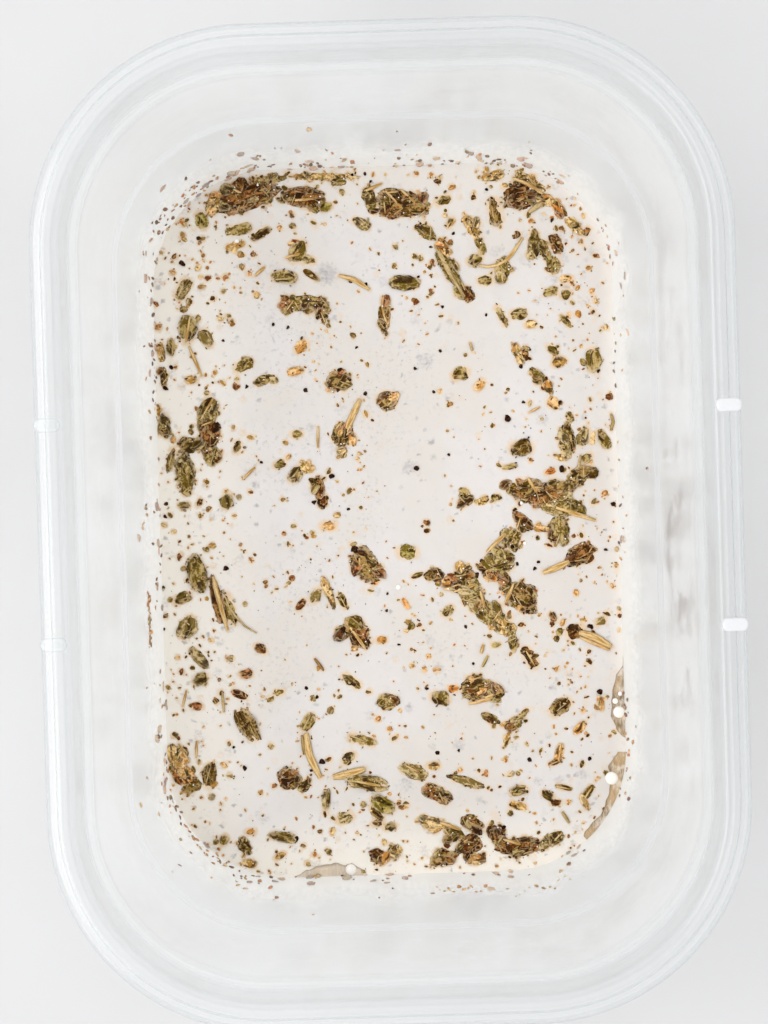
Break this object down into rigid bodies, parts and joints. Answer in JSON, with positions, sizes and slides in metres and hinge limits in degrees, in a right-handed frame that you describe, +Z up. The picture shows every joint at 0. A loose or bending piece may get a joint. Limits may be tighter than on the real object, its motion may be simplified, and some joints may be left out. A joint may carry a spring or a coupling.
{
  "type": "food tub of marinade",
  "caption": "Open clear plastic food tub, rectangular with round corners, holding a shallow creamy herb marinade.",
  "frame": {"origin": "middle of the footprint, on the surface that the tub stands on", "axes": "+Z up through the mouth, +Y along the long sides, +X across the tub"},
  "size_m": [0.1358, 0.194, 0.0932],
  "materials": {
    "clear_plastic": "clear, glossy, lightly smeared",
    "cream_marinade": "wet, satin, with herbs on it"
  },
  "bodies": {
    "root": {"tub": "clear_plastic", "marinade": "cream_marinade"}
  },
  "joints": []
}
